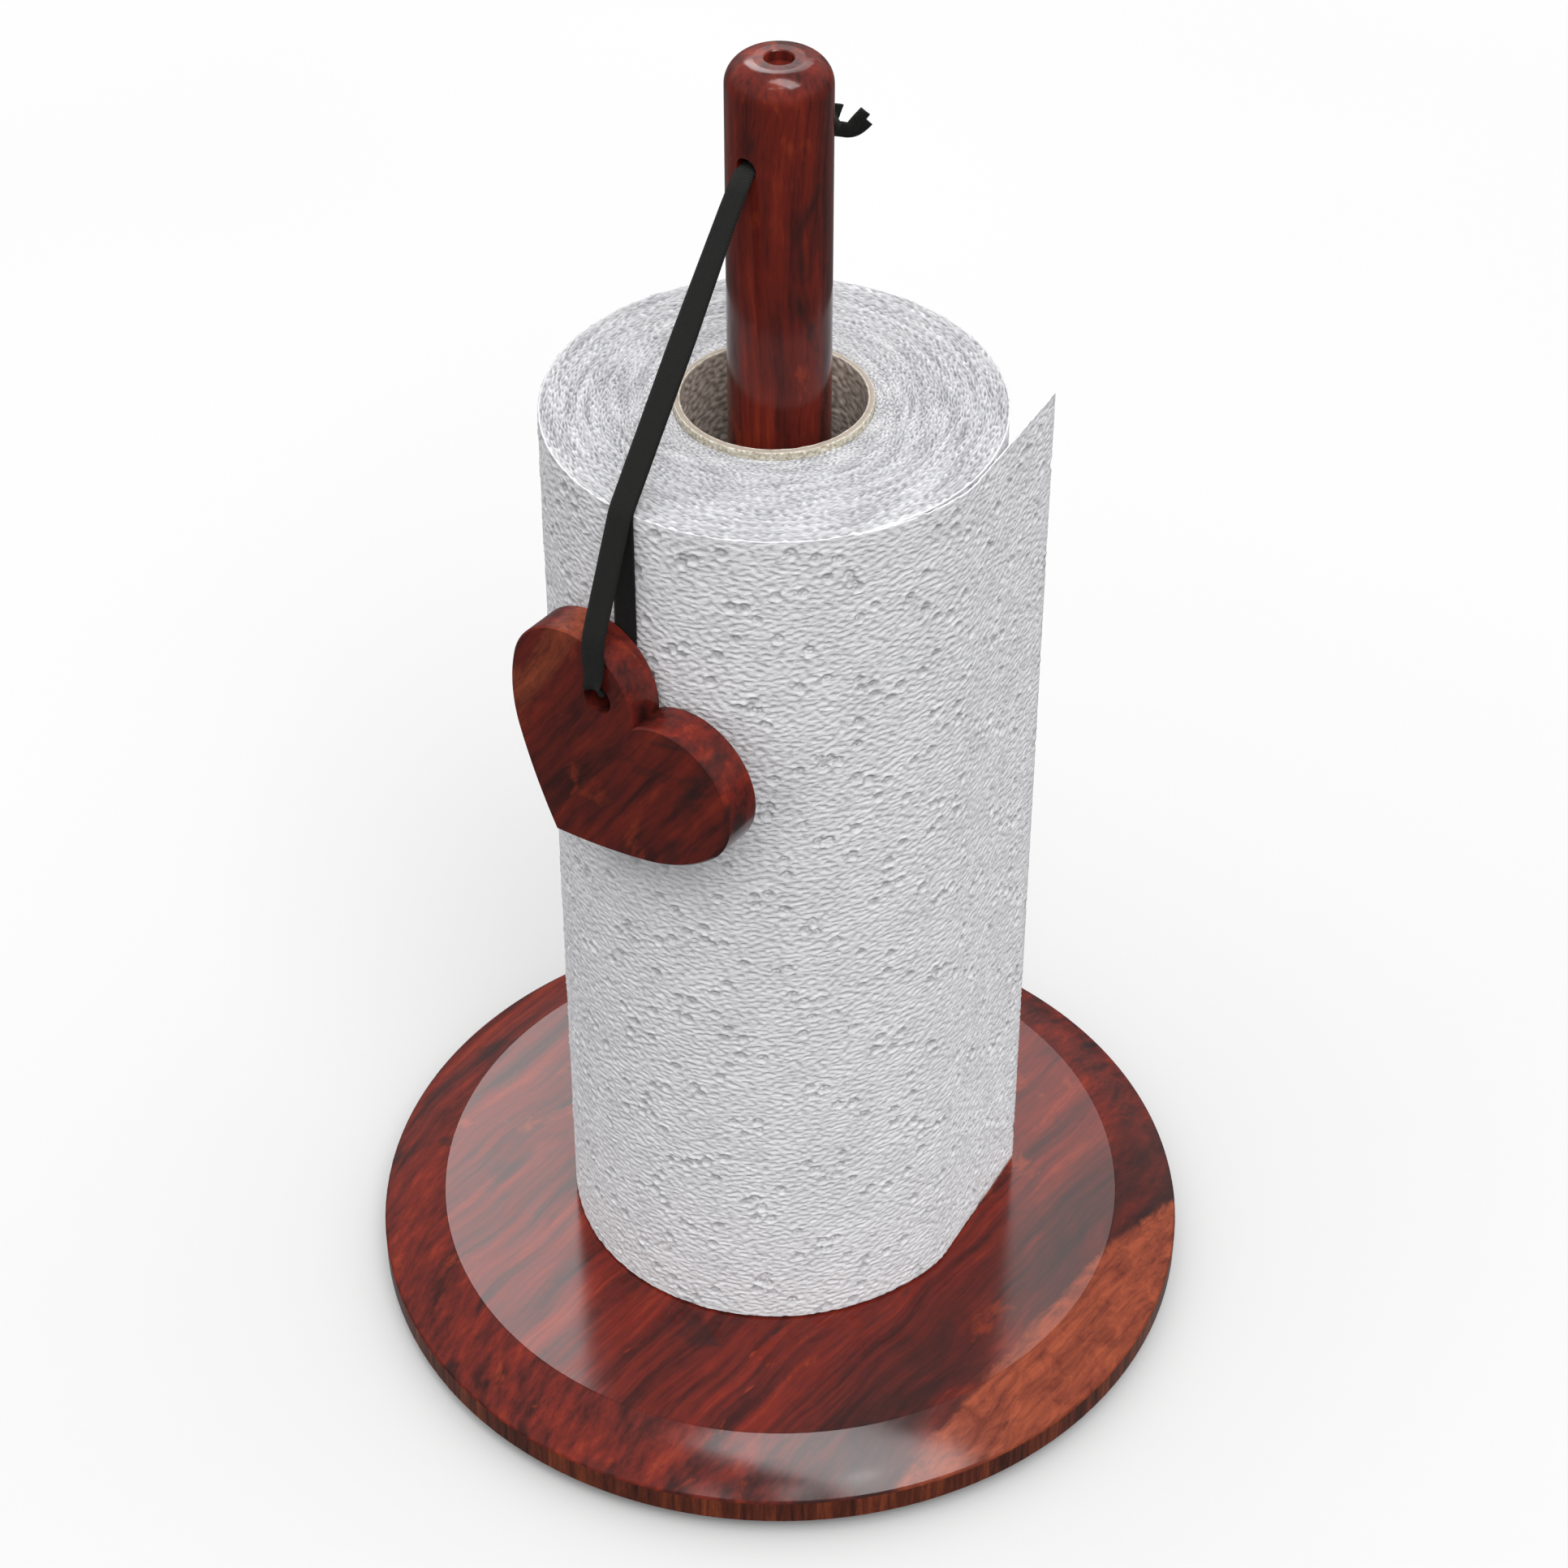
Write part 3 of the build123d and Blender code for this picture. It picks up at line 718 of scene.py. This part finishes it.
def wood(name, along, across, offset, band=None, stretch=1.0, figure=0.5, rim_height=None, dark_side=0.0):
    """Lacquered rosewood as a solid texture: dark and red streaks along the grain, with orange figure."""
    tree = Tree(name)
    along, across = unit(np.array(along, float)), unit(np.array(across, float))
    third = np.cross(along, across)
    place = tree.node("ShaderNodeTexCoord").outputs["Object"]
    shifted = tree.node("ShaderNodeVectorMath", {0: place, 1: tuple(offset)}, operation="ADD").outputs[0]
    u, v, w = (tree.dot(shifted, d) for d in (along, across, third))
    wander = tree.noise(tree.combine(u, v, w), 16.0, 2.0)
    wander_fine = tree.noise(tree.combine(u, v, w), 60.0, 3.0)
    v_bent = tree.sway(tree.sway(v, wander, 0.009), wander_fine, 0.0026)
    slow_u = tree.math("MULTIPLY", u, 0.10 * stretch)
    fine_u = tree.math("MULTIPLY", u, 0.045 * stretch)
    broad = tree.noise(tree.combine(slow_u, v_bent, w), 110.0, 3.0, 0.6)
    fine = tree.noise(tree.combine(fine_u, v_bent, w), 420.0, 4.0, 0.6)
    hair = tree.noise(tree.combine(fine_u, v_bent, w), 1500.0, 2.0, 0.6)
    mottle = tree.noise(tree.combine(tree.math("MULTIPLY", u, 0.5), v, w), 260.0, 5.0, 0.65, 0.6)
    patches = tree.noise(tree.combine(tree.math("MULTIPLY", u, 0.55), v_bent, w), 38.0, 3.0, 0.6, 1.6)
    value = tree.weigh(broad, 0.48, fine, 0.38)
    value = tree.math("ADD", value, tree.math("MULTIPLY", mottle, 0.16))
    colour = tree.ramp(value, [
        (0.34, (0.018, 0.0065, 0.0062)),
        (0.43, (0.046, 0.0095, 0.0080)),
        (0.50, (0.096, 0.0135, 0.0100)),
        (0.57, (0.142, 0.0165, 0.0105)),
        (0.66, (0.225, 0.0290, 0.0130)),
    ])
    dark = tree.range(patches, 0.56, 0.70, 0.0, 0.80, True)
    colour = tree.mix(dark, colour, (0.022, 0.0115, 0.0110))
    flame = tree.range(tree.sway(patches, mottle, 0.45), 0.40 - 0.06 * (1 - figure), 0.26, 0.0, 0.75, True)
    colour = tree.mix(flame, colour, (0.235, 0.0330, 0.0125))
    if band is not None:
        low, high, soft_high = band
        if dark_side:
            beside = tree.sway(v_bent, broad, 0.012)
            nearness = tree.range(beside, low - 2.4 * dark_side, low - 0.9 * dark_side, 0, 1, True)
            near = tree.math("MULTIPLY", nearness, tree.range(patches, 0.36, 0.52, 0.35, 1))
            colour = tree.mix(tree.math("MULTIPLY", near, 0.72), colour, (0.024, 0.0115, 0.0105))
        ragged = tree.sway(tree.sway(v, mottle, 0.004), wander, 0.010)
        inside = tree.math("MULTIPLY", tree.range(ragged, low - 0.0012, low + 0.0012, 0, 1, True),
                           tree.range(ragged, high + soft_high, high, 0, 1, True))
        tan = tree.mix(tree.range(tree.weigh(mottle, 0.6, fine, 0.4), 0.38, 0.62),
                       (0.120, 0.0230, 0.0130), (0.290, 0.0620, 0.0270))
        colour = tree.mix(tree.math("MULTIPLY", inside, 0.9), colour, tan)
    # Below rim_height the side wall shows its own fine grain lines, in colours brighter than the top's:
    # painted light from the front.
    if rim_height is not None:
        axes = tree.node("ShaderNodeSeparateXYZ", {0: place})
        turn = tree.math("MULTIPLY", tree.math("ARCTAN2", axes.outputs[1], axes.outputs[0]), 0.1)
        level = tree.math("MULTIPLY", axes.outputs[2], 0.06)
        lines = tree.noise(tree.combine(turn, level, 0.0), 620.0, 4.0, 0.65)
        blocks = tree.noise(tree.combine(turn, 0.0, 0.0), 55.0, 2.0, 0.6)
        wall = tree.ramp(tree.weigh(lines, 0.55, blocks, 0.45), [
            (0.38, (0.026, 0.0090, 0.0070)),
            (0.50, (0.105, 0.0230, 0.0120)),
            (0.64, (0.250, 0.0560, 0.0210)),
        ])
        colour = tree.mix(tree.range(axes.outputs[2], rim_height, rim_height - 0.0004), colour, wall)
    colour = tree.mix(tree.range(hair, 0.52, 0.72, 0.0, 0.35), colour, (0.020, 0.0080, 0.0070))
    tree.base(colour)
    tree.surface(Roughness=tree.range(mottle, 0.3, 0.7, 0.13, 0.18), IOR=1.5, Specular_IOR_Level=0.22)
    tree.bump(tree.math("ADD", fine, tree.math("MULTIPLY", hair, 0.5)), 0.05, 0.0002)
    return tree.material


BASE_GRAIN = math.radians(52)
HEART_GRAIN = math.radians(58)
base_along = (math.cos(BASE_GRAIN), math.sin(BASE_GRAIN), 0)
base_across = (math.sin(BASE_GRAIN), -math.cos(BASE_GRAIN), 0)
base_wood = wood("rosewood_base", base_along, base_across, (0.0, 0.0, 0.0), band=(0.0795, 0.100, 0.010),
                 rim_height=0.0107, dark_side=0.013)
post_wood = wood("rosewood_post", (0, 0.05, 1), (1, 0, 0), (0.31, 0.2, 0.1), figure=0.8)
heart_along = ACROSS * math.cos(HEART_GRAIN) + UP * math.sin(HEART_GRAIN)
heart_across = ACROSS * math.sin(HEART_GRAIN) - UP * math.cos(HEART_GRAIN)
heart_wood = wood("rosewood_heart", heart_along, heart_across, (0.0, 0.0, 0.0),
                  band=(-0.1302, -0.1246, 0.002), stretch=1.6, figure=0.8)


def paper_material():
    tree = Tree("kitchen_paper")
    place = tree.node("ShaderNodeTexCoord").outputs["Object"]
    pressed = tree.node("ShaderNodeAttribute", attribute_name="pressed").outputs["Fac"]
    painted_hollow_shade = tree.node("ShaderNodeAttribute", attribute_name="painted_hollow_shade").outputs["Fac"]
    cloud = tree.noise(place, 140.0, 3.0, 0.6)
    fibre = tree.noise(place, 2600.0, 3.0, 0.7)
    colour = tree.mix(tree.range(cloud, 0.35, 0.65), (0.765, 0.765, 0.785), (0.84, 0.84, 0.86))
    # Painted shade: the pressed dots, the crinkles' valleys and the roll's top are darkened toward grey in
    # the paper's colour.
    shade = tree.math("ADD", tree.math("MULTIPLY", pressed, 0.30), tree.math("MULTIPLY", painted_hollow_shade, 0.62), True)
    colour = tree.mix(shade, colour, (0.22, 0.22, 0.232))
    tree.base(colour)
    tree.surface(Roughness=tree.range(fibre, 0.3, 0.7, 0.82, 0.95), Specular_IOR_Level=0.2)
    flattened = tree.node("ShaderNodeVectorMath", {0: place, 1: (0.42, 0.42, 1.0)}, operation="MULTIPLY")
    creases = tree.noise(flattened.outputs[0], 1000.0, 3.0, 0.6, 0.4)
    tree.bump(tree.math("ADD", creases, tree.math("MULTIPLY", fibre, 0.25)), 1.0, 0.00030)
    return tree.material


def card_material():
    tree = Tree("raw_board")
    place = tree.node("ShaderNodeTexCoord").outputs["Object"]
    wall = tree.node("ShaderNodeAttribute", attribute_name="rough_wall").outputs["Fac"]
    rim = tree.node("ShaderNodeAttribute", attribute_name="rim").outputs["Fac"]
    speck = tree.noise(place, 1300.0, 4.0, 0.7)
    blotch = tree.noise(place, 300.0, 3.0, 0.6)
    colour = tree.ramp(wall, [
        (0.15, (0.330, 0.275, 0.230)),
        (0.50, (0.500, 0.430, 0.370)),
        (0.85, (0.640, 0.570, 0.500)),
    ])
    pale = tree.mix(tree.range(speck, 0.35, 0.65), (0.30, 0.24, 0.165), (0.74, 0.72, 0.62))
    colour = tree.mix(tree.range(rim, 0.05, 0.95), colour, pale)
    colour = tree.mix(tree.range(blotch, 0.55, 0.75, 0.0, 0.35), colour, (0.14, 0.11, 0.085))
    tree.base(colour)
    tree.surface(Roughness=tree.range(speck, 0.3, 0.7, 0.8, 0.95))
    tree.bump(speck, 0.4, 0.0002)
    return tree.material


def ribbon_material():
    tree = Tree("black_ribbon")
    uv = tree.node("ShaderNodeTexCoord").outputs["UV"]
    axes = tree.node("ShaderNodeSeparateXYZ", {0: uv})
    warp_line = tree.math("SINE", tree.math("MULTIPLY", axes.outputs[1], 2 * math.pi / 0.50))
    weft_line = tree.math("SINE", tree.math("MULTIPLY", axes.outputs[0], 2 * math.pi / 0.56))
    weave = tree.math("MULTIPLY", warp_line, weft_line)
    fuzz = tree.noise(uv, 5.0, 4.0, 0.7)
    level = tree.math("ADD", tree.math("MULTIPLY", weave, 0.5), fuzz)
    colour = tree.ramp(level, [(0.1, (0.0020, 0.0020, 0.0019)), (0.95, (0.0230, 0.0230, 0.0215))])
    tree.base(colour)
    tree.surface(Roughness=tree.range(fuzz, 0.3, 0.7, 0.62, 0.8), Sheen_Weight=0.04, Sheen_Roughness=0.5,
                 Specular_IOR_Level=0.16)
    tree.bump(level, 0.8, 0.00015)
    return tree.material


def rubber_material():
    tree = Tree("foot_rubber")
    place = tree.node("ShaderNodeTexCoord").outputs["Object"]
    grain = tree.noise(place, 900.0, 3.0, 0.6)
    tree.base(tree.ramp(grain, [(0.3, (0.012, 0.012, 0.012)), (0.7, (0.030, 0.030, 0.029))]))
    tree.surface(Roughness=tree.range(grain, 0.3, 0.7, 0.6, 0.8))
    tree.bump(grain, 0.3, 0.0002)
    return tree.material


def steel_material():
    tree = Tree("zinc_steel")
    place = tree.node("ShaderNodeTexCoord").outputs["Object"]
    brushed = tree.noise(place, 700.0, 4.0, 0.7)
    tree.base(tree.ramp(brushed, [(0.3, (0.42, 0.42, 0.43)), (0.7, (0.62, 0.62, 0.61))]))
    tree.surface(Metallic=1.0, Roughness=tree.range(brushed, 0.3, 0.7, 0.25, 0.45))
    tree.bump(brushed, 0.15, 0.0001)
    return tree.material


def dress(piece, material):
    piece.data.materials.clear()
    piece.data.materials.append(material)


paper_look = paper_material()
ribbon_look = ribbon_material()
rubber_look = rubber_material()
steel_look = steel_material()
dress(nodes["base_disc"], base_wood)
dress(nodes["post"], post_wood)
dress(nodes["heart"], heart_wood)
dress(sheet_piece, paper_look)
dress(body_piece, paper_look)
dress(core_piece, card_material())
for piece in (ply_back, ply_front, ribbon_post, *knot_parts):
    dress(piece, ribbon_look)
for side in ("front_left", "front_right", "rear_right", "rear_left"):
    dress(nodes[f"foot_{side}"], rubber_look)
for name in ("post_screw", "washer", "foot_screws"):
    dress(nodes[name], steel_look)


# ---------------------------------------------------------------- studio
def floor_material():
    tree = Tree("studio_floor")
    place = tree.node("ShaderNodeTexCoord").outputs["Object"]
    soft = tree.noise(place, 3.0, 1.0)
    tree.base(tree.ramp(soft, [(0.3, (0.545, 0.545, 0.545)), (0.7, (0.560, 0.560, 0.560))]))
    tree.surface(Roughness=1.0, Specular_IOR_Level=0.0)
    return tree.material


FLOOR_HALF = 30.0
floor_corners = [(x * FLOOR_HALF, y * FLOOR_HALF, 0) for x, y in ((-1, -1), (1, -1), (1, 1), (-1, 1))]
floor = new_mesh("studio_floor", floor_corners, [(0, 1, 2, 3)], smooth=False)
dress(floor, floor_material())
floor.visible_glossy = False
floor.visible_diffuse = False


def panel(name, place, aim, wide, tall, power):
    """A rectangular soft light that is seen in reflections and lights no matt surface."""
    data = bpy.data.lights.new(name, "AREA")
    data.shape = "RECTANGLE"
    data.size = wide
    data.size_y = tall
    data.energy = power
    lamp = bpy.data.objects.new(name, data)
    bpy.context.scene.collection.objects.link(lamp)
    lamp.location = place
    toward = np.array(aim, float) - np.array(place, float)
    lamp.rotation_euler = Vector(toward).to_track_quat("-Z", "Y").to_euler()
    lamp.visible_diffuse = False
    lamp.visible_camera = False


def card_glow():
    """The reflected back card: brighter at its left, with soft edges."""
    tree = Tree("card_glow")
    tree.nodes.remove(tree.shader)
    glow = tree.node("ShaderNodeEmission")
    tree.links.new(glow.outputs[0], tree.out.inputs["Surface"])
    axes = tree.node("ShaderNodeSeparateXYZ", {0: tree.node("ShaderNodeTexCoord").outputs["UV"]})
    level = tree.range(axes.outputs[0], 0.30, 0.68, 9.5, 3.6, True)
    for axis, soft in ((0, 0.14), (1, 0.12)):
        level = tree.math("MULTIPLY", level, tree.range(axes.outputs[axis], 0.0, soft, 0, 1, True))
        level = tree.math("MULTIPLY", level, tree.range(axes.outputs[axis], 1.0, 1.0 - soft, 0, 1, True))
    tree.put(glow.inputs["Strength"], level)
    return tree.material


def sun(name, azimuth, elevation, strength, spread):
    """A wide soft light from far away; it is kept out of reflections."""
    data = bpy.data.lights.new(name, "SUN")
    data.energy = strength
    data.angle = math.radians(spread)
    lamp = bpy.data.objects.new(name, data)
    bpy.context.scene.collection.objects.link(lamp)
    lamp.rotation_euler = (math.radians(90 - elevation), 0, math.radians(azimuth))
    lamp.visible_glossy = False


sun("sun_front", 16, 54, 1.15, 30)
panel("overhead", (0.28, -0.26, 1.7), (0.05, -0.06, 0.1), 0.58, 1.20, 26.0)
CARD_HALF = 0.95
CARD_BACK = 1.9
CARD_LOW, CARD_HIGH = 1.35, 2.75
card_uv = [(0, 0), (1, 0), (1, 1), (0, 1)]
card_corners = [((2 * u - 1) * CARD_HALF, CARD_BACK, CARD_HIGH if v else CARD_LOW) for u, v in card_uv]
card = new_mesh("back_card", card_corners, [(0, 1, 2, 3)], card_uv, smooth=False)
dress(card, card_glow())
for ray in ("camera", "diffuse", "shadow", "transmission", "volume_scatter"):
    setattr(card, "visible_" + ray, False)
POST_TOP = (0.0, 0.0, 0.33)
highlights = (((-0.25, -0.52, 1.20), 0.30), ((0.06, -0.50, 1.26), 0.36), ((0.30, -0.42, 1.36), 0.42))
for index, (place, power) in enumerate(highlights):
    panel(f"highlight_{index}", place, POST_TOP, 0.13, 0.09, power)

world = bpy.data.worlds.new("studio")
bpy.context.scene.world = world
world.use_nodes = True
sky_nodes, sky_links = world.node_tree.nodes, world.node_tree.links
sky_nodes.clear()
rays = sky_nodes.new("ShaderNodeLightPath")
direction = sky_nodes.new("ShaderNodeTexCoord")
parts = sky_nodes.new("ShaderNodeSeparateXYZ")
sky_links.new(direction.outputs["Generated"], parts.inputs[0])


def sky(colour, low, high, low_level, high_level):
    """A sky that brightens from low to high, which are heights of the ray's direction."""
    level = sky_nodes.new("ShaderNodeMapRange")
    sky_links.new(parts.outputs[2], level.inputs[0])
    for socket, value in enumerate((low, high, low_level, high_level), 1):
        level.inputs[socket].default_value = value
    made = sky_nodes.new("ShaderNodeBackground")
    made.inputs[0].default_value = (*colour, 1)
    sky_links.new(level.outputs[0], made.inputs[1])
    return made


def choose(ray, other, chosen):
    """One sky for a kind of ray and another for the rest."""
    made = sky_nodes.new("ShaderNodeMixShader")
    sky_links.new(rays.outputs[ray], made.inputs[0])
    sky_links.new(other.outputs[0], made.inputs[1])
    sky_links.new(chosen.outputs[0], made.inputs[2])
    return made


gloss_sky = sky((0.8, 0.8, 0.8), -0.05, 0.25, 0.20, 0.70)
dome = sky((1.0, 1.0, 1.0), -0.06, 1.0, 0.08, 2.15)
backdrop = sky_nodes.new("ShaderNodeBackground")
backdrop.inputs[0].default_value = (0.98, 0.98, 0.98, 1)
world_out = sky_nodes.new("ShaderNodeOutputWorld")
lit = choose("Is Glossy Ray", dome, gloss_sky)
sky_links.new(choose("Is Camera Ray", lit, backdrop).outputs[0], world_out.inputs[0])
bpy.context.scene.view_settings.view_transform = "Standard"
